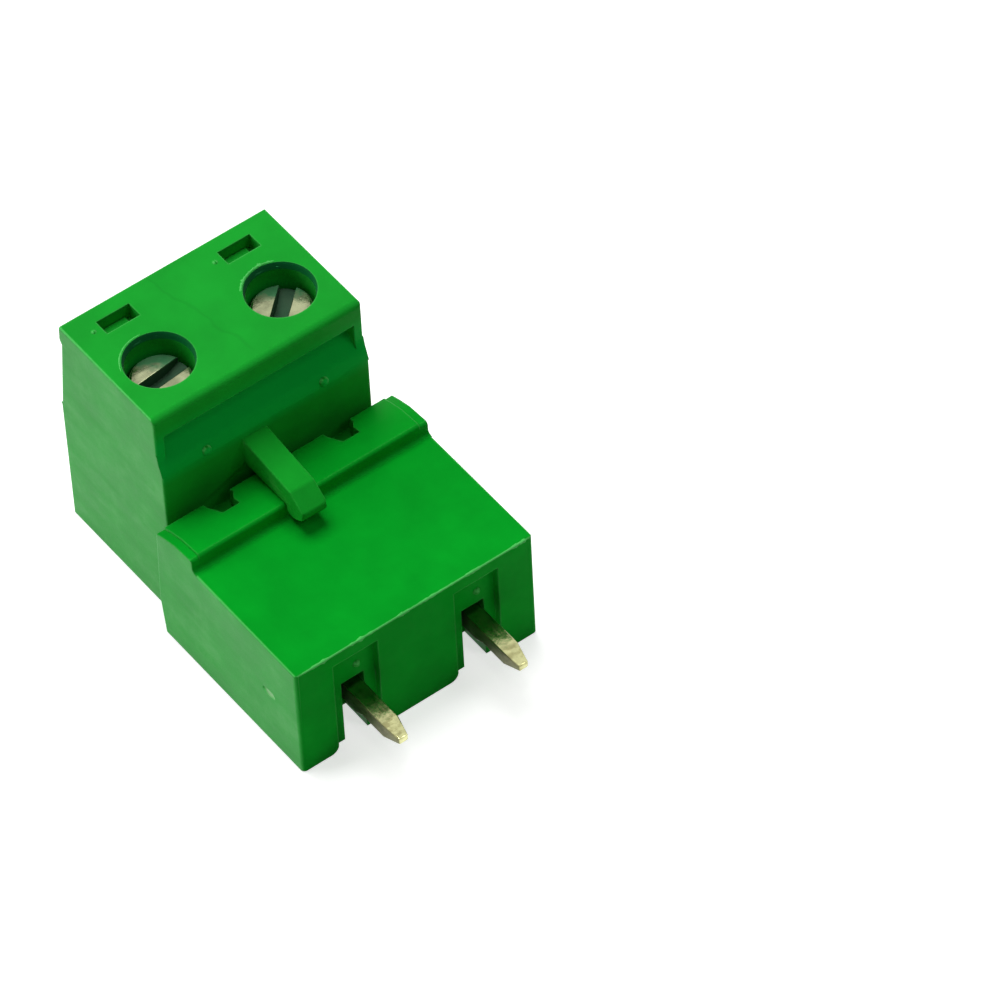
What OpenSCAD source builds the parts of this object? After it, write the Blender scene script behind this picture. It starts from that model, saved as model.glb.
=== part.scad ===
// Two-pole pluggable screw terminal: a screw plug pushed into a straight board header.
// X runs across the poles, Y from the wire side to the solder tails, Z up along the screws.
// The origin lies under the middle of the whole, on the surface that it rests on.

/* [Poles] */
// Distance between the two poles
pitch = 7.62; // [7.5:0.01:7.7]

/* [Plug] */
// Width of the plug across the poles
plug_w = 13.04; // [12.9:0.01:13.2]
// Height of the plug
plug_h = 15; // [14.9:0.1:15.4]
// Depth of the plug's body, from the wire face to the step that meets the header
plug_d = 9.28; // [9.2:0.01:9.4]
// Length of the nose that enters the header
nose_l = 9.05; // [8.8:0.05:9.1]
// Height of the nose's underside
nose_z = 1.05; // [1:0.05:1.1]
// Height of the nose, from its underside to its top
nose_h = 5.6; // [5.5:0.05:5.65]
// Half width of the nose
nose_hw = 6.45; // [6.4:0.01:6.5]
// Diameter of the screw holes in the top
hole_d = 3.85; // [3.8:0.05:4.1]
// Distance of the screw axes from the wire face
screw_y = 5.62; // [5.6:0.01:5.7]

/* [Clamps] */
// Outer diameter of the screw's thread
screw_d = 2.9; // [2.7:0.05:2.9]
// Diameter of the screw's head
head_d = 3.3; // [3.2:0.05:3.5]
// Depth of the screw's head below the plug's top
head_sink = 1.35; // [1.2:0.05:1.5]
// Width of the driver slot
driver_slot_w = 0.9; // [0.7:0.05:1]
// Height of the wire space in an open cage
wire_gap = 2.8; // [2.7:0.05:2.8]

/* [Header] */
// Width of the header across the poles
header_w = 14.98; // [14.9:0.01:15.1]
// Length of the header, from its mouth to the board
header_l = 12.03; // [12:0.01:12.2]
// Height of the header's main top face
header_h = 7.62; // [7.6:0.01:7.7]
// Height of the lip at the mouth above the main top face
lip_h = 0.95; // [0.9:0.01:1]
// Length of the lip
lip_l = 3.14; // [3:0.02:3.2]
// Gap between the plug's step and the header's mouth
mouth_gap = 0.43; // [0.4:0.01:0.5]

/* [Pins] */
// Width and height of the square pins
pin_w = 1; // [0.9:0.05:1]
// Length of the solder tails beyond the board face
tail_l = 3.9; // [3.5:0.1:4.2]
// Height of the pins' axis
pin_z = 3.65; // [3.6:0.01:3.7]

/* [Hidden] */
$fn = 48;
eps = 0.01;

green = [0.08, 0.60, 0.20];
zinc = [0.72, 0.73, 0.68];
tin = [0.78, 0.76, 0.66];

// places along Y, from the wire face
header_y = plug_d + mouth_gap;
board_y = header_y + header_l;
tip_y = board_y + tail_l;

// places of the poles: 1 lies at +X, 2 at -X
function pole_x(i) = (i == 1 ? 1 : -1) * pitch / 2;
// how far each driver slot stands turned from the X axis
function slot_turn(i) = i == 1 ? 6 : 42;

// plug: walls and chambers
wall = 0.45;
soft_r = 0.12;
top_t = 1;
lip_y = 0.6;
panel_y = 0.73;
shoulder_z = 8.65;
step_low_z = 10.9;
step_mid_y = 9;
step_mid_z = 11.8;
step_top_z = 12.35;
top_front_y = 8.9;
edge_r = 0.4;
groove_top_z = 13.55;
groove_h = 0.95;
groove_d = 0.7;
groove_end = 0.55;
hole_flare = 0.09;
hole_flare_h = 0.3;
insert_d = 3.4;
latch_hw = 0.68;
latch_sink = 0.75;
insert_z = 1.3;
cage_hw = 1.95;
cage_hl = 2.05;
cage_z = 1.75;
cage_floor = 0.75;
cage_wall = 0.43;
cage_roof = 1.3;
serration = 0.8;
bar_t = 0.7;
bar_gap = 0.05;
wire_z = cage_z + cage_floor;
bar_z = wire_z + wire_gap;
bar_top = bar_z + bar_t;
cage_inner_top = bar_top + 0.1;
cage_h = cage_inner_top + cage_roof - cage_z;
cage_rise = wire_gap - 2 * bar_gap;
chamber_hw = cage_hw + 0.08;
chamber_end_y = screw_y + cage_hl + 0.08;
chamber_floor = cage_z - 0.1;
chamber_top = cage_z + cage_h + cage_rise + 0.2;
head_top = plug_h - head_sink;
head_t = 1.1;
slot_depth = 0.8;
slot_cutter_r = 3.3;
head_z = head_top - head_t;
seat_z = head_z - 0.05;
contact_hw = 1.4;
contact_chamber_hw = 1.45;
contact_chamber_z = 1.7;
nose_wall = 0.8;
nose_y = plug_d + nose_l;

// latch finger
finger_x = 0.02;
finger_w = 1.55;
finger_reach = 5.14;
finger_r = 0.2;

// header: walls, cavity and board face
base_z = 0.04;
side_wall = 0.89;
cavity_z = nose_z - 0.13;
cavity_h = nose_h + 0.26;
floor_y = nose_y + 0.17;
lip_end_w = 0.5;
lip_end_drop = 0.12;
lip_r = 0.25;
lip_foot_r = 0.3;
notch_d = 1.4;
recess_w = 2.8;
recess_d = 0.45;
recess_top = 6.8;
pin_slot_w = 1.42;
pin_slot_top = 4.5;
pin_slot_wall = 0.9;
gate_mark_r = 0.3;
gate_mark_l = 0.6;
gate_mark_d = 0.09;

// ---------- shared shapes ----------

// unit vector from p to q
function along(p, q) = (q - p) / norm(q - p);

// unit normal of the path p at point i, with the length that keeps a mitred corner's thickness
function mitre(p, i) =
    let (n = len(p),
         a = along(p[max(i - 1, 0)], p[max(i, 1)]),
         b = along(p[min(i, n - 2)], p[min(i + 1, n - 1)]),
         m = along([0, 0], a + b))
    [-m.y, m.x] / (m * a);

// outline of a strip of thickness t that follows the path p
function strip(p, t) = concat(
    [for (i = [0:len(p) - 1]) p[i] + mitre(p, i) * t / 2],
    [for (i = [len(p) - 1:-1:0]) p[i] - mitre(p, i) * t / 2]);

// a (Y, Z) outline given a width along X, from x0 to x1
module across(x0, x1) {
    translate([x0, 0, 0]) rotate([90, 0, 90]) linear_extrude(x1 - x0) children();
}

// an (X, Z) outline given a length along Y, from y0 to y1
module lengthwise(y0, y1) {
    translate([0, y1, 0]) rotate([90, 0, 0]) linear_extrude(y1 - y0) children();
}

// a block between two opposite corners
module block(a, b) {
    translate(a) cube(b - a);
}

module rounded_rect(w, h, r) {
    square([w - 2 * r, h], center = true);
    square([w, h - 2 * r], center = true);
    for (x = [-1, 1], y = [-1, 1]) translate([x * (w / 2 - r), y * (h / 2 - r)]) circle(r);
}

// what is cut away to round an outline's upper right corner, which lies at the origin
module corner_cut(r) {
    difference() {
        translate([-r, -r]) square(r + 1);
        translate([-r, -r]) circle(r);
    }
}

// what is cut away to round a pair of long edges at (+-x, z), or of upright ones at (+-x, y)
module long_edges_cut(x, z, r, y0, y1) {
    for (s = [0, 1]) mirror([s, 0, 0]) lengthwise(y0, y1) translate([x, z]) corner_cut(r);
}

module upright_edges_cut(x, y, r, z0, z1) {
    for (s = [0, 1]) mirror([s, 0, 0])
        translate([0, 0, z0]) linear_extrude(z1 - z0) translate([x, y]) corner_cut(r);
}

// the low round mark that an ejector or a gate leaves
module mould_mark(at, r) {
    translate(at) sphere(r, $fn = 20);
}

// moves everything from the wire face to the middle of the whole length
module placed() {
    translate([0, -tip_y / 2, 0]) children();
}

// ---------- plug ----------

module plug_side_outline() {
    polygon([
        [0, 0], [plug_d, 0], [plug_d, step_low_z], [plug_d - 0.15, step_low_z + 0.5],
        [step_mid_y, step_mid_z], [top_front_y, step_top_z], [top_front_y, plug_h], [lip_y, plug_h],
        [lip_y - 0.05, plug_h - 0.95], [panel_y, plug_h - 1.25], [0.17, shoulder_z + 0.28],
        [0, shoulder_z]]);
}

// the block with the wire and screw openings, its outer edges rounded
module plug_body() {
    hw = plug_w / 2;
    difference() {
        across(-hw, hw) plug_side_outline();
        across(-plug_w, plug_w) translate([top_front_y, plug_h]) corner_cut(edge_r);
        long_edges_cut(hw, plug_h, soft_r, -1, plug_d);
        upright_edges_cut(hw, top_front_y, soft_r, step_top_z, plug_h + 1);
        upright_edges_cut(hw, plug_d, soft_r, -1, step_low_z);
        mirror([0, 1, 0]) upright_edges_cut(hw, 0, soft_r, -1, shoulder_z);
    }
}

// the nose, with a lead-in round its front
module plug_nose() {
    lead = 0.4;
    intersection() {
        across(-nose_hw, nose_hw) polygon([
            [plug_d - eps, nose_z], [nose_y - lead, nose_z], [nose_y, nose_z + lead],
            [nose_y, nose_z + nose_h - lead], [nose_y - lead, nose_z + nose_h],
            [plug_d - eps, nose_z + nose_h]]);
        linear_extrude(plug_h) polygon([
            [-nose_hw, 0], [nose_hw, 0], [nose_hw, nose_y - lead], [nose_hw - lead, nose_y],
            [lead - nose_hw, nose_y], [-nose_hw, nose_y - lead]]);
    }
}

// the finger that reaches over the header's lip
module latch_finger() {
    under = base_z + header_h + lip_h + 0.06;
    reach = plug_d + finger_reach;
    difference() {
        across(finger_x, finger_x + finger_w) polygon([
            [plug_d - eps, under], [reach - 0.06, under], [reach, under + 0.12], [reach, 9.15],
            [reach - 1.05, 10], [plug_d - eps, 10.5]]);
        translate([finger_x + finger_w / 2, 0, 0])
            upright_edges_cut(finger_w / 2, reach, finger_r, under - 1, plug_h);
    }
}

module plug_chambers() {
    // room for the wire entry insert
    block([wall - plug_w / 2, -1, insert_z], [plug_w / 2 - wall, insert_d, plug_h - top_t]);
    for (i = [1, 2]) translate([pole_x(i), 0, 0]) {
        // cage chamber, contact chamber behind the pin entry
        block([-chamber_hw, 0, chamber_floor], [chamber_hw, chamber_end_y, chamber_top]);
        block([-contact_chamber_hw, screw_y, contact_chamber_z],
              [contact_chamber_hw, nose_y - nose_wall, bar_top]);
        // square pin entry with a funnel
        translate([0, nose_y, pin_z]) rotate([90, 0, 0]) {
            linear_extrude(nose_wall * 3, center = true) square(pin_w + 0.4, center = true);
            intersection() {
                rotate([0, 0, 45]) cylinder(h = 0.9, r1 = 1.7, r2 = 0.6, center = true, $fn = 4);
                cube(3, center = true);
            }
        }
        // screw hole with its flared mouth, and the narrower hole for the shank
        translate([0, screw_y, 0]) {
            translate([0, 0, seat_z]) cylinder(h = plug_h, d = hole_d - 2 * hole_flare);
            translate([0, 0, plug_h]) cylinder(
                h = 2 * hole_flare_h, d1 = hole_d - 2 * hole_flare, d2 = hole_d + 2 * hole_flare,
                center = true);
            translate([0, 0, chamber_top - 1]) cylinder(h = plug_h / 2, d = screw_d + 0.2);
        }
        // slot for the insert's latch
        block([-1.02, 1.52, plug_h - top_t - 1], [1.02, 2.52, plug_h + 1]);
    }
}

module plug_housing() {
    color(green) placed() {
        difference() {
            union() {
                plug_body();
                plug_nose();
                latch_finger();
                for (i = [1, 2]) {
                    mould_mark([pole_x(i) * 0.97, plug_d - 0.1, 11.15], 0.27);
                    mould_mark([pole_x(i) + 1.5, 2, plug_h - 0.05], 0.14);
                }
            }
            plug_chambers();
            // groove under the top front edge, closed at both ends, with a sloped floor
            across(groove_end - plug_w / 2, plug_w / 2 - groove_end) polygon([
                [step_mid_y, step_mid_z], [top_front_y + 1, step_mid_z],
                [top_front_y + 1, groove_top_z], [top_front_y - groove_d, groove_top_z],
                [top_front_y - groove_d, groove_top_z - groove_h]]);
        }
    }
}

// side outline of the insert, with its sloped upper panel
module insert_side_outline() {
    polygon([
        [0, insert_z + 0.05], [insert_d, insert_z + 0.05], [insert_d, plug_h - top_t - 0.03],
        [0.95, plug_h - top_t - 0.03], [0.9, 13.75], [0.33, shoulder_z + 0.65],
        [0.05, shoulder_z + 0.5], [0, shoulder_z + 0.45]]);
}

// one wire funnel, widening towards the wire face
module wire_funnel() {
    front = [1.8, 5.3];
    back = [2.3, 5.3];
    floor_l = 2.05;
    intersection() {
        linear_extrude(plug_h) polygon([
            [front[0] - 0.15, -1], [front[1], -1], [back[1], insert_d + 1], [back[0], insert_d + 1],
            [back[0], floor_l], [front[0], 0]]);
        difference() {
            across(0, plug_w / 2) polygon([
                [-1, 2.45], [0, 2.45], [floor_l, wire_z], [insert_d + 1, wire_z - 1],
                [insert_d + 1, 6.9], [insert_d, 6.9], [0, 8.45], [-1, 8.45]]);
            // nub at the middle of the upper edge
            translate([pitch / 2, 0, 8.5]) lengthwise(-0.8, 0.8)
                polygon([[-0.4, 0.5], [-0.27, -0.25], [0.27, -0.25], [0.4, 0.5]]);
        }
    }
}

module wire_entry_insert() {
    hw = plug_w / 2 - wall - 0.05;
    color(green) placed() {
        difference() {
            across(-hw, hw) insert_side_outline();
            for (s = [0, 1]) mirror([s, 0, 0]) wire_funnel();
            // cores that keep the walls thin, open at the back
            block([-4.9, 1.7, shoulder_z + 0.75], [4.9, insert_d + 1, plug_h - top_t - 0.9]);
            block([-1.25, 1.2, insert_z + 0.9], [1.25, insert_d + 1, shoulder_z - 0.15]);
        }
        // latches in the slots of the plug's top
        for (i = [1, 2]) across(pole_x(i) - latch_hw, pole_x(i) + latch_hw) polygon([
            [1.57, plug_h - top_t - 0.1], [2.47, plug_h - top_t - 0.1],
            [2.47, plug_h - latch_sink], [1.57, plug_h - latch_sink]]);
    }
}

// ---------- clamps ----------

module clamp_screw(i) {
    chamfer = 0.12;
    tip_z = bar_top + 0.03;
    tip_l = 0.35;
    color(zinc) placed() translate([pole_x(i), screw_y, 0]) rotate([0, 0, slot_turn(i)])
        difference() {
            rotate_extrude() polygon([
                [0, tip_z], [screw_d / 2 - tip_l, tip_z], [screw_d / 2, tip_z + tip_l],
                [screw_d / 2, head_z], [head_d / 2, head_z], [head_d / 2, head_top - chamfer],
                [head_d / 2 - chamfer, head_top], [0, head_top]]);
            // driver slot, sawn by a disc, so its floor rises to both ends
            translate([0, 0, head_top - slot_depth + slot_cutter_r]) rotate([90, 0, 0])
                cylinder(h = driver_slot_w, r = slot_cutter_r, center = true, $fn = 96);
        }
}

module clamp_cage(i) {
    inner_h = cage_inner_top - wire_z;
    groove_w = 0.5;
    color(zinc) placed() translate([pole_x(i), 0, 0]) difference() {
        lengthwise(screw_y - cage_hl, screw_y + cage_hl) translate([0, cage_z + cage_h / 2]) difference() {
            rounded_rect(2 * cage_hw, cage_h, 0.5);
            translate([0, cage_floor - cage_h / 2 + inner_h / 2])
                rounded_rect(2 * (cage_hw - cage_wall), inner_h, 0.2);
        }
        translate([0, screw_y, cage_inner_top - 1]) cylinder(h = cage_h, d = screw_d + 0.1);
        // serrations that bite into the wire
        for (k = [-1:1]) across(0.2 + cage_wall - cage_hw, cage_hw - cage_wall - 0.2)
            translate([screw_y + k * serration, wire_z])
                polygon([[-groove_w / 2, eps], [0, -groove_w / 2], [groove_w / 2, eps]]);
    }
}

// bar in the cage, and the two leaves that grip the pin
module spring_contact(i) {
    leaf_t = 0.5;
    web_y = plug_d;
    grip = pin_w / 2 + 0.06 + leaf_t / 2;
    bar_y = screw_y - cage_hl + 0.1;
    grip_y = nose_y - 3.4;
    leaf = [[web_y, 1.65], [web_y + 1.2, 1.3], [grip_y, grip], [nose_y - 1.2, 1.3]];
    color(tin) placed() translate([pole_x(i), 0, 0]) {
        block([-contact_hw, bar_y, bar_z], [contact_hw, web_y, bar_top]);
        block([-contact_hw, web_y - 0.3, contact_chamber_z], [contact_hw, web_y + 0.3, bar_top]);
        for (s = [-1, 1]) across(-contact_hw, contact_hw)
            polygon(strip([for (p = leaf) [p.x, pin_z + s * p.y]], leaf_t));
    }
}

// ---------- header ----------

// side outline, with the lip's top lowered by drop
module header_side_outline(drop) {
    top = base_z + header_h;
    lip_top = top + lip_h - drop;
    difference() {
        polygon([
            [header_y + 0.05, base_z], [board_y, base_z], [board_y, top], [header_y + lip_l, top],
            [header_y + lip_l, lip_top], [header_y + lip_l - 0.65, lip_top - 0.06],
            [header_y + lip_l - 1.55, lip_top - 0.15], [header_y + 0.62, lip_top - 0.45],
            [header_y, lip_top - 0.7], [header_y - 0.25, base_z + 2.6]]);
        translate([header_y + lip_l, lip_top]) corner_cut(lip_r);
    }
}

// the hollow foot of the lip's front face
module lip_foot() {
    translate([header_y + lip_l, base_z + header_h]) difference() {
        translate([-eps, -eps]) square(lip_foot_r);
        translate([lip_foot_r, lip_foot_r]) circle(lip_foot_r);
    }
}

// one coding notch in the lip, wider towards the mouth
module coding_notch() {
    translate([0, 0, cavity_z + cavity_h - 0.5]) linear_extrude(3) polygon([
        [-0.95, header_y - 1], [0.75, header_y - 1], [0.75, header_y + 0.45],
        [0.45, header_y + notch_d], [-0.62, header_y + notch_d], [-0.62, header_y + 0.8],
        [-0.95, header_y + 0.3]]);
}

// recess round one pin, with the slot that runs down to the header's foot
module board_face_recess() {
    corner = 0.5;
    block([-recess_w / 2, board_y - recess_d, base_z - 1], [recess_w / 2, board_y + 1, recess_top]);
    block([-pin_slot_w / 2, floor_y + pin_slot_wall, base_z - 1],
          [pin_slot_w / 2, board_y + 1, pin_slot_top]);
    // rounded foot on both sides of the recess
    for (s = [0, 1]) mirror([s, 0, 0])
        translate([recess_w / 2, 0, base_z]) lengthwise(board_y - 1.2, board_y + 1) difference() {
            translate([-eps, -1]) square([corner, corner + 1]);
            translate([corner, corner]) circle(corner);
        }
}

// the long shallow dimple of a moulding gate, in a side wall
module gate_mark() {
    translate([header_w / 2 + gate_mark_r - gate_mark_d, board_y - 2.65, 4]) rotate([90, 0, 0]) {
        cylinder(h = gate_mark_l, r = gate_mark_r, center = true);
        for (s = [-1, 1]) translate([0, 0, s * gate_mark_l / 2]) sphere(gate_mark_r);
    }
}

module header_housing() {
    hw = header_w / 2;
    cavity_hw = hw - side_wall;
    color(green) placed() union() {
        difference() {
            intersection() {
                union() {
                    across(-hw, hw) header_side_outline(lip_end_drop);
                    across(lip_end_w - hw, hw - lip_end_w) header_side_outline(0);
                    across(-hw, hw) lip_foot();
                }
                // rounded upright corners at the board end
                linear_extrude(plug_h) translate([0, board_y / 2])
                    rounded_rect(header_w, board_y, 0.25);
            }
            // rounded edges of the top face
            long_edges_cut(hw, base_z + header_h, soft_r, header_y + lip_l + lip_foot_r, board_y + 1);
            across(-header_w, header_w) translate([board_y, base_z + header_h]) corner_cut(soft_r);
            block([-cavity_hw, header_y - 1, cavity_z], [cavity_hw, floor_y, cavity_z + cavity_h]);
            for (s = [0, 1]) mirror([s, 0, 0]) gate_mark();
            for (i = [1, 2]) translate([pole_x(i), 0, 0]) {
                coding_notch();
                board_face_recess();
                // seat of the pin in the floor
                translate([0, floor_y, pin_z]) cube([pin_w, 4, pin_w], center = true);
            }
        }
        for (i = [1, 2]) mould_mark([pole_x(i) - 0.3, board_y - recess_d, 5.4], 0.2);
    }
}

// square pin: tapered at both ends, deeper where it leaves the floor
module header_pin(i) {
    hw = pin_w / 2;
    tip_hw = 0.28;
    tip_hh = 0.2;
    taper = 1.15;
    inner_y = header_y + 2.1;
    heel_y = floor_y + pin_slot_wall;
    heel_d = 0.28;
    heel_end = board_y + 0.4;
    color(tin) placed() translate([pole_x(i), 0, pin_z]) intersection() {
        across(-hw, hw) polygon([
            [inner_y, -tip_hh], [inner_y + 1, -hw], [heel_y, -hw], [heel_y, -hw - heel_d],
            [heel_end, -hw - heel_d], [heel_end + 0.6, -hw], [tip_y - taper, -hw],
            [tip_y, -tip_hh], [tip_y, tip_hh], [tip_y - taper, hw], [inner_y + 1, hw],
            [inner_y, tip_hh]]);
        linear_extrude(4, center = true) polygon([
            [-tip_hw, inner_y], [tip_hw, inner_y], [hw, inner_y + 1], [hw, tip_y - taper],
            [tip_hw, tip_y], [-tip_hw, tip_y], [-hw, tip_y - taper], [-hw, inner_y + 1]]);
    }
}

plug_housing();
wire_entry_insert();
clamp_screw(1);  // clamp_screw_1
clamp_screw(2);  // clamp_screw_2
clamp_cage(1);  // clamp_cage_1
clamp_cage(2);  // clamp_cage_2
spring_contact(1);  // spring_contact_1
spring_contact(2);  // spring_contact_2
header_housing();
header_pin(1);  // header_pin_1
header_pin(2);  // header_pin_2
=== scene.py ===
"""The looks of a two-pole pluggable screw terminal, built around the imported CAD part."""

import math
import random

import bmesh
import bpy
from mathutils import Matrix, Vector, noise


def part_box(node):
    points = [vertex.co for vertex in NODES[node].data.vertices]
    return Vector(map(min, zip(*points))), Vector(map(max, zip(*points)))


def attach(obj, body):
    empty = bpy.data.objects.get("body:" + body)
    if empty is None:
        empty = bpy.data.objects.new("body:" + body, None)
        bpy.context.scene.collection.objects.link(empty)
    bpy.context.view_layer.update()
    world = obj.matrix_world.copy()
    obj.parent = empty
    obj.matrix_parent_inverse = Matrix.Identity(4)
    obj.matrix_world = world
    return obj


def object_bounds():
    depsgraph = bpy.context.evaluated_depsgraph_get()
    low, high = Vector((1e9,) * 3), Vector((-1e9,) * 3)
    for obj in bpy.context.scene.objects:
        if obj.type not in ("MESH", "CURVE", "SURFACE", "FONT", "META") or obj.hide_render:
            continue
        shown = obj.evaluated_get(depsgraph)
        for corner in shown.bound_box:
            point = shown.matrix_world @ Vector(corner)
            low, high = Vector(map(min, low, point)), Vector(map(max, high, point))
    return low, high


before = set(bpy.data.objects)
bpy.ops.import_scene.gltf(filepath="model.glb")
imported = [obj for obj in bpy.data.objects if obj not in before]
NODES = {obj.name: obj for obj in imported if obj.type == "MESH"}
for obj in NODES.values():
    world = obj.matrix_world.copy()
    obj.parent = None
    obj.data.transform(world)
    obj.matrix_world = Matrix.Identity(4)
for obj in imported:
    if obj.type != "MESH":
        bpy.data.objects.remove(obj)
CAD_LOW, CAD_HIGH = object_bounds()
MM = 0.001
POLES = (1, 2)

# ---------- places on the CAD part, in millimetres ----------


def box_mm(node):
    low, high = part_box(node)
    return low / MM, high / MM


HEADER_LOW, HEADER_HIGH = box_mm("header_housing")
SCREW_BOX = {i: box_mm(f"clamp_screw_{i}") for i in POLES}
POLE_X = {i: (low.x + high.x) / 2 for i, (low, high) in SCREW_BOX.items()}
SCREW_Y = (SCREW_BOX[1][0].y + SCREW_BOX[1][1].y) / 2
HEAD_TOP = SCREW_BOX[1][1].z
PIN_TIP_Y = box_mm("header_pin_1")[1].y
BOARD_Y = HEADER_HIGH.y
# the plug's highest points are mould marks, and the header's is the lip that the latch grips
MARK_RISE, LIP_RISE = 0.09, 0.945
PLUG_TOP = box_mm("plug_housing")[1].z - MARK_RISE
HEADER_TOP = HEADER_HIGH.z - LIP_RISE
# the front edge of the plug's top, above the step down to the latch
STEP_Y = HEADER_LOW.y - 0.56
HOLE_RADIUS = 1.925
SLOT_BOTTOM, SLOT_TOP = HEAD_TOP - 1.05, HEAD_TOP - 0.03

# ---------- camera ----------

# where it stands, in degrees: azimuth 0 looks along +Y, 90 along -X
CAMERA_AZIMUTH = 145.27
CAMERA_ELEVATION = 49.50
CAMERA_ROLL = -3.11
CAMERA_DISTANCE = 410.6 * MM
CAMERA_LENS = 288.7
MIDDLE = (CAD_LOW + CAD_HIGH) / 2
# what the middle of the picture looks at: a point beside the object, on its -X side
LOOK_AT = MIDDLE + Vector((-7.94, 5.51, -0.545)) * MM


def stand(target, azimuth, elevation, distance):
    """A matrix that stands at a distance from the target and looks at it along -Z."""
    azimuth, elevation = math.radians(azimuth), math.radians(elevation)
    back = Vector((math.sin(azimuth) * math.cos(elevation),
                   -math.cos(azimuth) * math.cos(elevation),
                   math.sin(elevation)))
    turn = (-back).to_track_quat("-Z", "Y").to_matrix().to_4x4()
    return Matrix.Translation(target + back * distance) @ turn


def link(name, data):
    """A new object in the scene."""
    obj = bpy.data.objects.new(name, data)
    bpy.context.scene.collection.objects.link(obj)
    return obj


def make_camera():
    data = bpy.data.cameras.new("camera")
    data.sensor_width = 36
    data.lens = CAMERA_LENS
    data.clip_start, data.clip_end = 0.01, 20
    camera = link("camera", data)
    camera.matrix_world = (stand(LOOK_AT, CAMERA_AZIMUTH, CAMERA_ELEVATION, CAMERA_DISTANCE)
                           @ Matrix.Rotation(math.radians(CAMERA_ROLL), 4, "Z"))
    bpy.context.scene.camera = camera


# ---------- node helpers ----------

def add_node(tree, kind, inputs=None, **settings):
    """A new node, its sockets set to values or fed from other nodes' outputs."""
    made = tree.nodes.new(kind)
    for setting, value in settings.items():
        setattr(made, setting, value)
    for socket, value in (inputs or {}).items():
        feed(tree, made.inputs[socket], value)
    return made


def feed(tree, socket, value):
    if isinstance(value, bpy.types.NodeSocket):
        tree.links.new(value, socket)
    else:
        socket.default_value = value


def tint(colour, factor=1.0):
    """A linear colour made lighter or darker, as RGBA."""
    return tuple(min(1.0, c * factor) for c in colour) + (1.0,)


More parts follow.
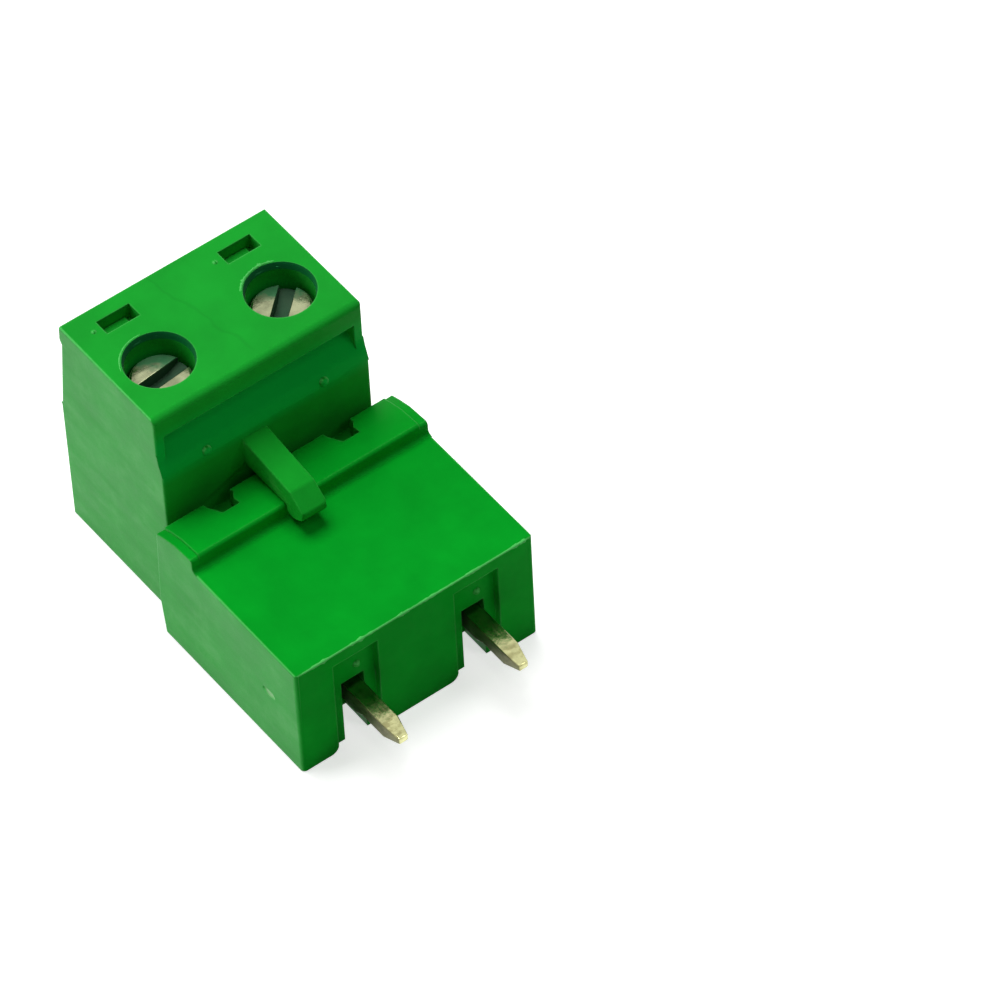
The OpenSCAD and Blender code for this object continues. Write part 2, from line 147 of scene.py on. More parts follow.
class Surface:
    """A material with one Principled shader, whose textures lie in the part's own millimetres."""

    def __init__(self, name, **sockets):
        self.material = bpy.data.materials.new(name)
        self.material.use_nodes = True
        self.tree = self.material.node_tree
        self.shader = self.tree.nodes["Principled BSDF"]
        for socket, value in sockets.items():
            self.shader.inputs[socket.replace("_", " ")].default_value = value
        coordinates = self.node("ShaderNodeTexCoord").outputs
        self.position = coordinates["Object"]
        self.place = self.node("ShaderNodeSeparateXYZ", {"Vector": self.position}).outputs
        self.faces = self.node("ShaderNodeSeparateXYZ", {"Vector": coordinates["Normal"]}).outputs

    def node(self, kind, inputs=None, **settings):
        return add_node(self.tree, kind, inputs, **settings)

    def noise(self, size_mm, detail=2.0, roughness=0.5, stretch=None):
        """A noise between 0 and 1 whose lumps are about size_mm wide, and longer along stretch."""
        position = self.position
        if stretch:
            position = self.node("ShaderNodeMapping", {
                "Vector": position, "Scale": [1 / s for s in stretch]}).outputs["Vector"]
        return self.node("ShaderNodeTexNoise", {
            "Vector": position, "Scale": 1 / (size_mm * MM), "Detail": detail,
            "Roughness": roughness}).outputs["Fac"]

    def math(self, operation, a, b=0.0):
        return self.node("ShaderNodeMath", {0: a, 1: b}, operation=operation).outputs[0]

    def vector(self, operation, a, b=None, output=0):
        inputs = {0: a} if b is None else {0: a, 1: b}
        return self.node("ShaderNodeVectorMath", inputs, operation=operation).outputs[output]

    def times(self, *values):
        total = values[0]
        for value in values[1:]:
            total = self.math("MULTIPLY", total, value)
        return total

    def most(self, a, b):
        return self.math("MAXIMUM", a, b)

    def span(self, value, low, high, to_low=0.0, to_high=1.0):
        """The value's stretch from low to high, drawn out from to_low to to_high and held beyond."""
        return self.node("ShaderNodeMapRange", {
            "Value": value, "From Min": low, "From Max": high,
            "To Min": to_low, "To Max": to_high}).outputs["Result"]

    def along(self, axis, start_mm, end_mm):
        """0 up to start_mm on the part's axis, rising to 1 at end_mm; the ends may be swapped."""
        return self.span(self.place[axis], start_mm * MM, end_mm * MM)

    def facing(self, axis, low, high):
        """0 on faces turned away from the axis, either way, and 1 on those square to it."""
        return self.span(self.math("ABSOLUTE", self.faces[axis]), low, high)

    def mix(self, factor, a, b):
        made = self.node("ShaderNodeMix", data_type="RGBA")
        for socket, value in (("Factor", factor), ("A", a), ("B", b)):
            feed(self.tree, made.inputs[socket], value)
        return made.outputs["Result"]

    def cover(self, base, mask, strength, colour, factor=1.0):
        """The base colour, covered with another where the mask is 1."""
        return self.mix(self.times(mask, strength), base, tint(colour, factor))

    def bump(self, height, depth_mm, normal=None):
        inputs = {"Height": height, "Strength": 1.0, "Distance": depth_mm * MM}
        if normal is not None:
            inputs["Normal"] = normal
        return self.node("ShaderNodeBump", inputs).outputs["Normal"]

    def rounded(self, radius_mm, samples=6):
        """The surface normal, rounded over near edges, and a mask of the outward edges alone."""
        soft = self.node("ShaderNodeBevel", {"Radius": radius_mm * MM}, samples=samples).outputs[0]
        flat = self.node("ShaderNodeNewGeometry").outputs["Normal"]
        turn = self.vector("DISTANCE", soft, flat, "Value")
        open_sky = self.node("ShaderNodeAmbientOcclusion", {"Distance": 2 * radius_mm * MM},
                             samples=samples).outputs["AO"]
        return soft, self.times(self.span(turn, 0.06, 0.45), self.span(open_sky, 0.75, 0.95))

    def patch(self, centre_mm, radii_mm, blur=0.5):
        """1 inside an ellipsoid, fading to 0 over the outer part blur of its radii."""
        offset = self.vector("SUBTRACT", self.position, Vector(centre_mm) * MM)
        scaled = self.vector("DIVIDE", offset, Vector(radii_mm) * MM)
        return self.span(self.vector("LENGTH", scaled, output="Value"), 1.0, 1.0 - blur)

    def inputs(self, *sockets):
        """What feeds these sockets of the shader now."""
        return [self.shader.inputs[socket.replace("_", " ")].links[0].from_socket
                for socket in sockets]

    def finish(self, **sockets):
        for socket, value in sockets.items():
            feed(self.tree, self.shader.inputs[socket.replace("_", " ")], value)
        return self.material


# ---------- colours, linear ----------

PLUG_GREEN = (0.008, 0.315, 0.022)
HEADER_GREEN = (0.0015, 0.310, 0.016)
# painted light: the lighter green of the plug's step
STEP_PAINTED_LIGHT = (0.001, 0.420, 0.045)
# painted shade: the dark teal green of the hole mouths
MOUTH_PAINTED_SHADE = (0.001, 0.120, 0.030)
# painted highlight: the pale green of the outward edges
PALE_EDGE_HIGHLIGHT = (0.085, 0.520, 0.110)
# the pale green of painted highlights on gates and nubs, of painted reflection blotches, and of pale
# recess marks
PALE_MARK_AND_HIGHLIGHT = (0.330, 0.620, 0.300)
ZINC = (0.40, 0.43, 0.25)
# painted reflection of the green hole wall on the rear of the screw heads
WALL_REFLECTION_GREEN = (0.006, 0.150, 0.055)
# painted shade in the screw slots
SLOT_PAINTED_SHADE = (0.001, 0.055, 0.026)
TIN = (0.62, 0.62, 0.31)
COPPER_TIN = (0.66, 0.62, 0.48)
BROWN = (0.16, 0.13, 0.03)
# painted reflection of the green header on the pins near the board face
PIN_ROOT_REFLECTION = (0.035, 0.100, 0.030)

# ---------- plastics ----------

# the lumps of the noises, in mm: colour clouds, flow marks, eroded grain, blotches of painted
# reflection, and sink marks
CLOUDS, FLOWS, GRAIN, REFLECTION_BLOTCHES, SINKS = 3.2, 0.9, 0.09, 1.6, 3.2
GRAIN_DEPTH, SINK_DEPTH = 0.0035, 0.02
# the specular level of the faces across X, Y and Z
PLUG_SHEEN = (0.20, 0.05, 0.05)
PLUG_TOP_SHEEN = 0.32
HEADER_SHEEN = (0.25, 0.015, 0.10)
PLAIN_SHEEN = (0.25, 0.05, 0.10)
SHEEN_TINT = (0.1, 0.7, 0.25, 1)
EDGE_RADIUS = 0.12
# a long top edge is found by its normal, part across times part up: none at 0.12, full at 0.38
LONG_EDGE = (0.12, 0.38)

# pale patches, each with its centre, its radii and its strength: painted highlights on the gates in the
# header's sides, pale marks in the recesses of its board face, and painted highlights on the plug's
# step nubs
HEADER_MARKS_AND_HIGHLIGHTS = [
    ((x, BOARD_Y - 2.6, HEADER_LOW.z + 3.94), (0.35, 0.55, 0.24), 0.9)
    for x in (HEADER_LOW.x + 0.04, HEADER_HIGH.x - 0.04)] + [
    ((x - 0.3, BOARD_Y - 0.37, HEADER_TOP - 2.25), (0.22, 0.3, 0.22), 0.10)
    for x in POLE_X.values()]
PLUG_NUB_HIGHLIGHTS = [
    ((x * 0.97, HEADER_LOW.y - 0.14, PLUG_TOP - 3.85), (0.26, 0.3, 0.26), 0.06)
    for x in POLE_X.values()]

# the flared mouths of the screw holes: depth, reach past the hole, and the normal's tilt at the top
FLARE_DEPTH, FLARE_REACH, FLARE_TILT = 0.5, 0.25, 3.0
# the flow line: its shift in X for each mm in Y, its place between the holes and its wobble
FLOW_SLOPE, FLOW_PLACE, FLOW_WOBBLE = 0.20, 0.08, 0.45


def plastic(name, colour, roughness=0.42, sheen=PLAIN_SHEEN, marks=(), edge_highlight=None):
    """Moulded nylon: satin, slightly cloudy, with painted reflection in pale blotches on the faces
    across X, and a fine eroded grain.

    The function for the edges, given the surface and the mask of the outward edges, says how strongly
    those edges get a painted pale highlight.
    """
    s = Surface(name, IOR=1.5, Specular_Tint=SHEEN_TINT)
    cloud = s.span(s.noise(CLOUDS, 4.0, 0.55), 0.35, 0.65)
    flow = s.span(s.noise(FLOWS, 4.0, 0.6, stretch=(1.0, 6.0, 1.0)), 0.3, 0.7)
    grain = s.noise(GRAIN, 3.0, 0.6)
    reflection_blotch = s.times(s.span(s.noise(REFLECTION_BLOTCHES, 4.0, 0.6), 0.50, 0.85), s.facing("X", 0.8, 0.95))
    base = s.mix(cloud, tint(colour, 0.89), tint(colour, 1.07))
    base = s.cover(base, flow, 0.18, colour, 0.80)
    base = s.mix(s.span(grain, 0.25, 0.75, 0.0, 0.10), base, tint(colour, 1.3))
    # painted reflection: pale blotches on the faces across X
    base = s.cover(base, reflection_blotch, 0.11, PALE_MARK_AND_HIGHLIGHT)
    soft = None
    if edge_highlight:
        soft, edge = s.rounded(EDGE_RADIUS)
        # painted highlight: the outward edges are mixed towards a pale green
        base = s.mix(edge_highlight(s, edge), base, tint(PALE_EDGE_HIGHLIGHT))
    # pale patches: painted highlights on the gates and step nubs, and pale marks in the header's
    # recesses
    for centre, radii, strength in marks:
        base = s.cover(base, s.patch(centre, radii), strength, PALE_MARK_AND_HIGHLIGHT)
    level = sheen[2]
    for axis, own in zip("XY", sheen):
        level = s.span(s.facing(axis, 0.5, 0.9), 0, 1, level, own)
    rough = s.span(s.math("ADD", s.times(flow, 0.5), grain), 0.4, 1.1,
                   roughness - 0.05, roughness + 0.07)
    normal = s.bump(grain, GRAIN_DEPTH, s.bump(s.noise(SINKS, 1.0), SINK_DEPTH, soft))
    s.finish(Base_Color=base, Roughness=rough, Normal=normal, Specular_IOR_Level=level)
    return s


def plug_edge_highlight(s, edge):
    """Painted highlight: pale along the top edges of the two side faces, faint on the other edges, none
    on the latch.
    """
    long_edge = s.span(s.times(s.math("ABSOLUTE", s.faces["X"]), s.faces["Z"]), *LONG_EDGE)
    latch = s.patch((0.8, HEADER_LOW.y + 2.3, HEADER_HIGH.z + 1.2), (2.4, 4.6, 2.9), 0.1)
    return s.times(s.most(s.times(edge, 0.45), s.times(long_edge, 0.85)),
                   s.span(latch, 0, 1, 1.0, 0.1))


def header_edge_highlight(s, edge):
    """Painted highlight: pale along the top edges of the side faces and of the board face, faint on the
    others.
    """
    board = s.times(s.faces["Y"], s.along("Y", BOARD_Y - 0.6, BOARD_Y - 0.5))
    across = s.most(s.math("ABSOLUTE", s.faces["X"]), board)
    long_edge = s.span(s.times(across, s.faces["Z"]), *LONG_EDGE)
    return s.most(s.times(edge, 0.4), s.times(long_edge, 0.8))


def hole_mouth(s):
    """A mask of the flared mouths of the two screw holes."""
    near = [s.patch((x, SCREW_Y, PLUG_TOP), [HOLE_RADIUS + FLARE_REACH] * 3, 0.03)
            for x in POLE_X.values()]
    low = PLUG_TOP - FLARE_DEPTH
    return s.times(s.most(*near), s.span(s.faces["Z"], 0.9, 0.5), s.along("Z", low, low + 0.1))


def flow_line(s):
    """A mask of the wavering line that crosses the plug's top between the two holes."""
    wobble = s.span(s.noise(1.6, 2.0), 0, 1, -FLOW_WOBBLE * MM, FLOW_WOBBLE * MM)
    across = s.math("ADD", s.place["X"], s.times(s.place["Y"], FLOW_SLOPE))
    middle = (SCREW_Y * FLOW_SLOPE + FLOW_PLACE) * MM
    off = s.math("ABSOLUTE", s.math("SUBTRACT", s.math("ADD", across, wobble), middle))
    return s.times(s.span(off, 0.13 * MM, 0.03 * MM), s.span(s.faces["Z"], 0.9, 0.98),
                   s.along("Z", PLUG_TOP - 0.1, PLUG_TOP - 0.02),
                   s.along("Y", STEP_Y - 0.6, STEP_Y - 1.4))


def plug_plastic():
    """The plug's nylon: glossier top, painted light on the step, painted shade in the polished hole
    mouths, faint flow line.
    """
    s = plastic("plug_nylon", PLUG_GREEN, sheen=PLUG_SHEEN, marks=PLUG_NUB_HIGHLIGHTS, edge_highlight=plug_edge_highlight)
    base, normal, rough, level = s.inputs("Base_Color", "Normal", "Roughness", "Specular_IOR_Level")
    top = s.times(s.span(s.faces["Z"], 0.5, 0.9), s.along("Z", PLUG_TOP - 3, PLUG_TOP - 1))
    level = s.span(top, 0, 1, level, PLUG_TOP_SHEEN)
    # painted light: the step's faces that look towards +Y are covered with a lighter green
    step = s.times(s.span(s.faces["Y"], 0.35, 0.6), s.along("Z", PLUG_TOP - 0.9, PLUG_TOP - 2.0),
                   s.along("Z", PLUG_TOP - 4.7, PLUG_TOP - 3.9))
    base = s.cover(base, step, 0.8, STEP_PAINTED_LIGHT)
    mouth = hole_mouth(s)
    rough = s.span(mouth, 0, 1, rough, 0.06)
    level = s.span(mouth, 0, 1, level, 0.15)
    # painted shade: the flared hole mouths are covered with a dark teal green
    base = s.cover(base, mouth, 0.9, MOUTH_PAINTED_SHADE)
    tilt = s.times(mouth, s.along("Z", PLUG_TOP - FLARE_DEPTH, PLUG_TOP), FLARE_TILT)
    up = s.node("ShaderNodeCombineXYZ", {"Z": tilt}).outputs[0]
    normal = s.vector("NORMALIZE", s.vector("ADD", normal, up))
    base = s.cover(base, flow_line(s), 0.16, PLUG_GREEN, 0.4)
    return s.finish(Base_Color=base, Roughness=rough, Normal=normal, Specular_IOR_Level=level)


def header_plastic():
    return plastic("header_nylon", HEADER_GREEN, sheen=HEADER_SHEEN, marks=HEADER_MARKS_AND_HIGHLIGHTS,
                   edge_highlight=header_edge_highlight).material


# ---------- metals ----------

# the lumps of the noises, in mm, and the depths of their bumps
ZINC_CLOUDS, ZINC_SCUFFS, ZINC_PITS, ZINC_DENTS = 0.8, 0.25, 0.07, 0.5
TIN_LINES, TIN_CLOUDS, TIN_SPOTS = 0.10, 0.7, 0.35
LINE_DEPTH, CLOUD_DEPTH, DENT_DEPTH = 0.006, 0.008, 0.012
# the horizontal way to the rear of the screw heads, which get a painted reflection of the hole wall,
# and its outline
REFLECTION_WAY = (-0.585, -0.811)
REFLECTION_RAGGED, REFLECTION_START, REFLECTION_END = 0.7, 0.35, 1.0
SLOT_BLUR = 0.08


def head_wall_reflection(s):
    """A mask of the painted green reflection of the hole wall over the rear of each screw head."""
    pole = s.times(s.math("SIGN", s.place["X"]), POLE_X[1] * MM)
    rear = s.math("ADD", s.times(s.math("SUBTRACT", s.place["X"], pole), REFLECTION_WAY[0]),
                  s.times(s.math("SUBTRACT", s.place["Y"], SCREW_Y * MM), REFLECTION_WAY[1]))
    wobble = s.span(s.noise(0.45, 4.0, 0.6), 0, 1, -REFLECTION_RAGGED * MM, REFLECTION_RAGGED * MM)
    ragged = s.math("ADD", rear, wobble)
    return s.times(s.span(ragged, REFLECTION_START * MM, REFLECTION_END * MM),
                   s.along("Z", HEAD_TOP - 0.1, HEAD_TOP - 0.06))


def screw_zinc(name):
    """Zinc plate on turned steel: dull silver with a warm cast, scuffed, painted shade in the slots,
    painted reflection of the green hole wall on the rear of the heads.
    """
    s = Surface(name)
    cloud = s.span(s.noise(ZINC_CLOUDS, 3.0), 0.35, 0.65)
    scuff = s.noise(ZINC_SCUFFS, 4.0, 0.7, stretch=(4.0, 1.0, 1.0))
    pits = s.span(s.noise(ZINC_PITS, 2.0), 0.30, 0.36, 0.35, 0)
    wall_reflection = head_wall_reflection(s)
    slot_shade = s.times(s.along("Z", SLOT_TOP, SLOT_TOP - SLOT_BLUR),
                   s.along("Z", SLOT_BOTTOM, SLOT_BOTTOM + SLOT_BLUR))
    base = s.mix(cloud, tint(ZINC, 0.78), tint(ZINC, 1.22))
    base = s.mix(pits, base, tint(ZINC, 0.35))
    # painted shade: the slots are covered with a dark green
    base = s.cover(base, slot_shade, 0.92, SLOT_PAINTED_SHADE)
    # painted reflection: the rear of each head is covered with the green of the hole wall
    base = s.cover(base, wall_reflection, 0.88, WALL_REFLECTION_GREEN)
    metal = s.math("MINIMUM", s.span(wall_reflection, 0, 1, 1.0, 0.22), s.span(slot_shade, 0, 1, 1.0, 0.08))
    level = s.span(s.most(wall_reflection, slot_shade), 0, 1, 0.5, 0.1)
    rough = s.math("ADD", s.span(scuff, 0.3, 0.7, 0.10, 0.24), s.times(slot_shade, 0.2))
    normal = s.bump(scuff, LINE_DEPTH, s.bump(s.noise(ZINC_DENTS, 2.0), DENT_DEPTH))
    return s.finish(Base_Color=base, Metallic=metal, Roughness=rough, Normal=normal,
                    Specular_IOR_Level=level)


def tin_plate(name, colour):
    """Bright tin: drawing lines, stains at the taper, sheared sides darker partly as cut metal and
    partly as painted dark reflection, and painted green reflection at the root.
    """
    s = Surface(name, Metallic=1.0)
    lines = s.noise(TIN_LINES, 3.0, 0.6, stretch=(1.0, 14.0, 1.0))
    cloud = s.span(s.noise(TIN_CLOUDS, 3.0, 0.6), 0.3, 0.7)
    spots = s.noise(TIN_SPOTS, 3.0, 0.6, stretch=(1.6, 1.0, 1.0))
    taper = s.times(s.along("Y", PIN_TIP_Y - 1.5, PIN_TIP_Y - 1.1),
                    s.along("Y", PIN_TIP_Y - 0.5, PIN_TIP_Y - 0.8))
    stain = s.most(s.span(spots, 0.52, 0.66), s.times(taper, s.span(spots, 0.42, 0.54)))
    ragged = s.math("ADD", s.place["Y"], s.span(spots, 0.3, 0.7, -0.5 * MM, 0.5 * MM))
    root = s.times(s.span(ragged, (BOARD_Y + 2.1) * MM, (BOARD_Y + 0.7) * MM),
                   s.along("Y", BOARD_Y - 1.5, BOARD_Y - 1.0))
    sheared_and_dark_reflection = s.facing("X", 0.5, 0.9)
    base = s.mix(cloud, tint(colour, 0.80), tint(colour, 1.15))
    base = s.cover(base, stain, 0.45, BROWN)
    # painted reflection: the pins near the board face are covered with a dark green, ragged at its edge
    base = s.cover(base, root, 0.72, PIN_ROOT_REFLECTION)
    # the sheared sides are made much darker, partly as cut metal and partly as painted dark reflection
    base = s.cover(base, sheared_and_dark_reflection, 0.80, colour, 0.12)
    rough = s.math("ADD", s.span(lines, 0.3, 0.7, 0.12, 0.24), s.times(sheared_and_dark_reflection, 0.2))
    normal = s.bump(lines, LINE_DEPTH, s.bump(cloud, CLOUD_DEPTH))
    return s.finish(Base_Color=base, Roughness=rough, Normal=normal)


# ---------- stage ----------

FLOOR_COLOUR = 0.72
FLOOR_GLOW = 0.64
FLOOR_SIZE = 3.0
FLOOR_GAP = 0.02 * MM
SKY_FILL = 0.08
# name: azimuth and elevation as the camera's, distance, size, watts, and whether glossy faces show it
LAMPS = {
    "window": (55, 18, 0.45, 0.24, 0.92, False),
    "overhead": (-6, 70, 0.50, 0.30, 2.25, False),
    "front_fill": (215, 48, 0.50, 0.16, 0.27, True),
    "lamp": (148, 66, 0.60, 0.03, 0.15, True),
}


def sees_background(tree):
    """1 for camera, glossy and transmission rays, which see the plain white, and 0 for the rest."""
    rays = add_node(tree, "ShaderNodeLightPath").outputs
    total = rays["Is Camera Ray"]
    for ray in ("Is Glossy Ray", "Is Transmission Ray"):
        either = add_node(tree, "ShaderNodeMath", {0: total, 1: rays[ray]}, operation="MAXIMUM")
        total = either.outputs[0]
    return total


def make_floor():
    bm = bmesh.new()
    bmesh.ops.create_grid(bm, x_segments=1, y_segments=1, size=FLOOR_SIZE / 2)
    mesh = bpy.data.meshes.new("floor")
    bm.to_mesh(mesh)
    bm.free()
    floor = link("floor", mesh)
    material = bpy.data.materials.new("floor_paper")
    material.use_nodes = True
    tree = material.node_tree
    tree.nodes.clear()
    paper = add_node(tree, "ShaderNodeBsdfDiffuse", {"Color": (FLOOR_COLOUR,) * 3 + (1,)})
    strength = add_node(tree, "ShaderNodeMath", {0: sees_background(tree), 1: FLOOR_GLOW},
                        operation="MULTIPLY")
    glow = add_node(tree, "ShaderNodeEmission", {"Strength": strength.outputs[0]})
    both = add_node(tree, "ShaderNodeAddShader", {0: paper.outputs[0], 1: glow.outputs[0]})
    add_node(tree, "ShaderNodeOutputMaterial", {"Surface": both.outputs[0]})
    mesh.materials.append(material)
    floor.location.z = CAD_LOW.z - FLOOR_GAP


def make_world():
    world = bpy.data.worlds.new("studio")
    world.use_nodes = True
    bpy.context.scene.world = world
    tree = world.node_tree
    strength = add_node(tree, "ShaderNodeMapRange", {
        "Value": sees_background(tree), "To Min": SKY_FILL, "To Max": 1.0})
    sky = tree.nodes["Background"]
    feed(tree, sky.inputs["Color"], (1, 1, 1, 1))
    feed(tree, sky.inputs["Strength"], strength.outputs["Result"])


def make_lights():
    for name, (azimuth, elevation, distance, size, watts, mirrored) in LAMPS.items():
        data = bpy.data.lights.new(name, "AREA")
        data.shape = "SQUARE"
        data.size = size
        data.energy = watts
        lamp = link(name, data)
        lamp.visible_glossy = mirrored
        lamp.matrix_world = stand(MIDDLE, azimuth, elevation, distance)


# ---------- modifiers that give the CAD nodes their edges ----------

SHARP_ANGLE = math.radians(28)
FLAT_ANGLE = math.radians(0.3)
WELD_DISTANCE = 0.001 * MM
EVERYWHERE = (CAD_LOW / MM - Vector((1, 1, 1)), CAD_HIGH / MM + Vector((1, 1, 1)))
NOWHERE = (Vector(), Vector())
FINGER = (Vector((-1, HEADER_LOW.y - 0.04, HEADER_HIGH.z)),
          Vector((2, HEADER_LOW.y + 6.4, HEADER_HIGH.z + 2.4)))


def edge_picker(name, bevelled_mm):
    """Geometry nodes: smooth shading, bevel weight 1 on the sharp edges inside a box of the part,
    and creases on the sharp edges outside it.
    """
    low, high = (corner * MM for corner in bevelled_mm)
    tree = bpy.data.node_groups.new(name, "GeometryNodeTree")
    for way in ("INPUT", "OUTPUT"):
        tree.interface.new_socket("Geometry", in_out=way, socket_type="NodeSocketGeometry")
    source = add_node(tree, "NodeGroupInput")
    smooth = add_node(tree, "GeometryNodeSetShadeSmooth", {"Geometry": source.outputs[0]})
    angle = add_node(tree, "GeometryNodeInputMeshEdgeAngle").outputs["Unsigned Angle"]
    sharp = add_node(tree, "FunctionNodeCompare", {"A": angle, "B": SHARP_ANGLE},
                     operation="GREATER_THAN").outputs[0]
    position = add_node(tree, "GeometryNodeInputPosition").outputs[0]
    offset = add_node(tree, "ShaderNodeVectorMath", {0: position, 1: (low + high) / 2},
                      operation="SUBTRACT").outputs[0]
    reach = add_node(tree, "ShaderNodeVectorMath", {0: offset}, operation="ABSOLUTE").outputs[0]
    compare = add_node(tree, "FunctionNodeCompare", data_type="VECTOR", mode="ELEMENT",
                       operation="LESS_THAN")
    sides = [socket for socket in compare.inputs if socket.enabled]
    feed(tree, sides[0], reach)
    feed(tree, sides[1], (high - low) / 2)
    inside = compare.outputs[0]
    weight = add_node(tree, "GeometryNodeStoreNamedAttribute", {
        "Geometry": smooth.outputs[0], "Selection": sharp, "Name": "bevel_weight_edge",
    }, data_type="FLOAT", domain="EDGE")
    feed(tree, weight.inputs["Value"], inside)
    outside = add_node(tree, "FunctionNodeBooleanMath", {0: inside}, operation="NOT").outputs[0]
    kept = add_node(tree, "FunctionNodeBooleanMath", {0: sharp, 1: outside}, operation="AND").outputs[0]
    crease = add_node(tree, "GeometryNodeStoreNamedAttribute", {
        "Geometry": weight.outputs[0], "Name": "sharp_edge",
    }, data_type="BOOLEAN", domain="EDGE")
    feed(tree, crease.inputs["Value"], kept)
    add_node(tree, "NodeGroupOutput", {0: crease.outputs[0]})
    return tree


def dress(node, material, picker, bevel_mm=0, segments=2):
    """Give a CAD node its material and softened edges; without a bevel they are only creased."""
    obj = NODES[node]
    obj.data.materials.clear()
    obj.data.materials.append(material)
    weld = obj.modifiers.new("weld", "WELD")
    weld.merge_threshold = WELD_DISTANCE
    flat = obj.modifiers.new("flat", "DECIMATE")
    flat.decimate_type = "DISSOLVE"
    flat.angle_limit = FLAT_ANGLE
    obj.modifiers.new("pick", "NODES").node_group = picker
    if bevel_mm:
        bevel = obj.modifiers.new("bevel", "BEVEL")
        bevel.limit_method = "WEIGHT"
        bevel.width = bevel_mm * MM
        bevel.segments = segments
        bevel.use_clamp_overlap = False
        bevel.miter_outer = "MITER_SHARP"
    normals = obj.modifiers.new("normals", "WEIGHTED_NORMAL")
    normals.weight = 50
    normals.keep_sharp = True


def dress_cad():
    full, none = edge_picker("full_edges", EVERYWHERE), edge_picker("no_edges", NOWHERE)
    plug = plug_plastic()
    dress("plug_housing", plug, edge_picker("plug_edges", FINGER), 0.10, segments=3)
    dress("wire_entry_insert", plug, none)
    dress("header_housing", header_plastic(), none)
    zinc = screw_zinc("zinc_plate")
    tin = tin_plate("tin_plate", TIN)
    contact = tin_plate("tinned_spring", COPPER_TIN)
    for i in POLES:
        dress(f"clamp_screw_{i}", zinc, full, 0.05)
        dress(f"clamp_cage_{i}", zinc, full, 0.05)
        dress(f"spring_contact_{i}", contact, full, 0.05)
        dress(f"header_pin_{i}", tin, full, 0.09)


# ---------- the pieces that the CAD leaves out ----------

def polar(i, radius, angle, z):
    """A point round the axis of a screw."""
    return POLE_X[i] + radius * math.cos(angle), SCREW_Y + radius * math.sin(angle), z


def loft(name, rings_mm, material, body, smooth_sides, smooth_ends):
    """A closed piece through rings of points, with a flat end at the first and at the last."""
    bm = bmesh.new()
    rings = [[bm.verts.new(Vector(point) * MM) for point in ring] for ring in rings_mm]
    n = len(rings[0])
    sides = [bm.faces.new((a[k], a[(k + 1) % n], b[(k + 1) % n], b[k]))
             for a, b in zip(rings, rings[1:]) for k in range(n)]
    ends = [bm.faces.new(rings[0]), bm.faces.new(rings[-1])]
    bmesh.ops.recalc_face_normals(bm, faces=bm.faces)
    for faces, smooth in ((sides, smooth_sides), (ends, smooth_ends)):
        for face in faces:
            face.smooth = smooth
    bm.normal_update()
    mesh = bpy.data.meshes.new(name)
    bm.to_mesh(mesh)
    bm.free()
    mesh.materials.append(material)
    piece = link(name, mesh)
    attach(piece, body)


def screw_thread(i, material):
    """A helical ridge round the screw's shank, fading out at both ends."""
    pitch, steps = 0.5, 40
    low_z, high_z = SCREW_BOX[i][0].z + 0.52, HEAD_TOP - 1.35
    root, crest = 1.435, 1.49
    foot, land = 0.17, 0.03
    turns = (high_z - low_z) / pitch
    total = int(turns * steps)
    rings = []
    for k in range(total + 1):
        t = k / total
        angle = 2 * math.pi * turns * t
        z = low_z + (high_z - low_z) * t
        r = root + (crest - root) * min(1.0, k / steps, (total - k) / steps)
        rings.append([polar(i, radius, angle, z + rise)
                      for radius, rise in ((root, -foot), (r, -land), (r, land), (root, foot))])
    loft(f"screw_thread_{i}", rings, material, f"screw_{i}", False, False)


def latch_heel(material):
    """The hook under the latch finger, in front of the header's lip."""
    front_y, lip_z = HEADER_LOW.y + 3.36, HEADER_HIGH.z
    outline = [(0.17, 0.205), (0.17, 0.095), (0.19, -0.175), (0.27, -0.355), (0.40, -0.435),
               (0.66, -0.445), (0.86, -0.395), (1.10, -0.265), (1.36, -0.105), (1.52, 0.065),
               (1.52, 0.205)]
    x0, x1, inset, tip = 0.015, 1.575, 0.05, 1.42
    rings = []
    for x, drawn_in, end in ((x0, inset, tip), (x0 + inset, 0, math.inf),
                             (x1 - inset, 0, math.inf), (x1, inset, tip)):
        rings.append([(x, front_y + min(y, end), lip_z + z + (drawn_in if z < 0 else 0))
                      for y, z in outline])
    loft("latch_heel", rings, material, "plug", True, False)


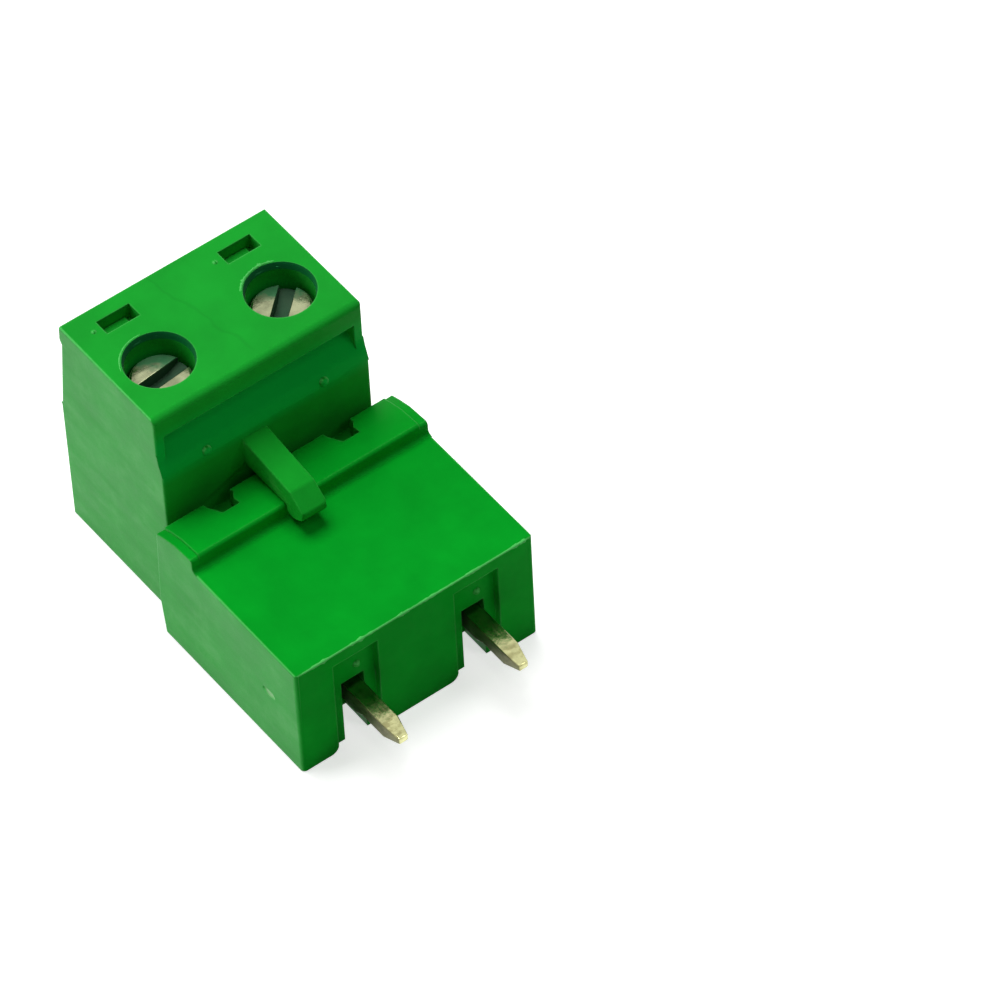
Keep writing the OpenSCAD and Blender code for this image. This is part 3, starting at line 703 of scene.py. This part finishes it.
def rim_burr(i, material, seed, start, end, height, width):
    """The ragged moulding burr along part of a screw hole's rim; angles in degrees from +X."""
    rng = random.Random(seed)
    radius = HOLE_RADIUS + 0.105
    steps = max(12, int((end - start) / 3))
    rings = []
    for k in range(steps + 1):
        t = k / steps
        angle = math.radians(start + (end - start) * t)
        fade = math.sin(math.pi * t) ** 0.5
        high = height * fade * rng.uniform(0.45, 1.0)
        wide = 0.03 + width * fade * rng.random() ** 2
        rings.append([polar(i, radius + out, angle, PLUG_TOP + rise) for out, rise in (
            (-0.10, -0.11), (-0.04 - 0.3 * wide, high * 0.8 - 0.015), (0, high),
            (wide * 0.6, high * 0.5), (wide, -0.02))])
    loft(f"rim_burr_{i}_{seed}", rings, material, "plug", True, True)


def edge_flash(material):
    """Thin uneven flash along the header's top edge above the pins."""
    rng = random.Random(7)
    y, z = BOARD_Y - 0.048, HEADER_TOP - 0.038
    half = HEADER_HIGH.x - 0.39
    steps = 150
    around = [math.radians(degrees) for degrees in (-100, -50, 0, 45, 90, 140)]
    rings = []
    for k in range(steps + 1):
        x = -half + 2 * half * (k / steps)
        swell = (noise.noise(Vector((x * 0.9, 3.7, 0.0)))
                 + 0.6 * noise.noise(Vector((x * 3.1, 9.1, 0.0))))
        size = 0.056 + 0.130 * max(0.0, swell) * rng.uniform(0.5, 1.0)
        if k in (0, steps):
            size = 0.004
        rings.append([(x, y + size * math.cos(a), z + size * math.sin(a)) for a in around])
    loft("header_edge_flash", rings, material, "header", True, True)


def make_pieces():
    nylon = plastic("latch_nylon", PLUG_GREEN, sheen=PLUG_SHEEN).material
    # the burrs and the flash are given the pale green of the painted edge highlight
    pale = plastic("burr_nylon", PALE_EDGE_HIGHLIGHT, roughness=0.36).material
    zinc = screw_zinc("thread_zinc")
    latch_heel(nylon)
    for i in POLES:
        screw_thread(i, zinc)
    rim_burr(2, pale, 1, start=243, end=325, height=0.085, width=0.22)
    rim_burr(1, pale, 2, start=262, end=345, height=0.02, width=0.03)
    edge_flash(pale)


# ---------- the scene ----------


bpy.context.scene.view_settings.view_transform = "Standard"
make_camera()
make_world()
make_floor()
make_lights()
dress_cad()
make_pieces()
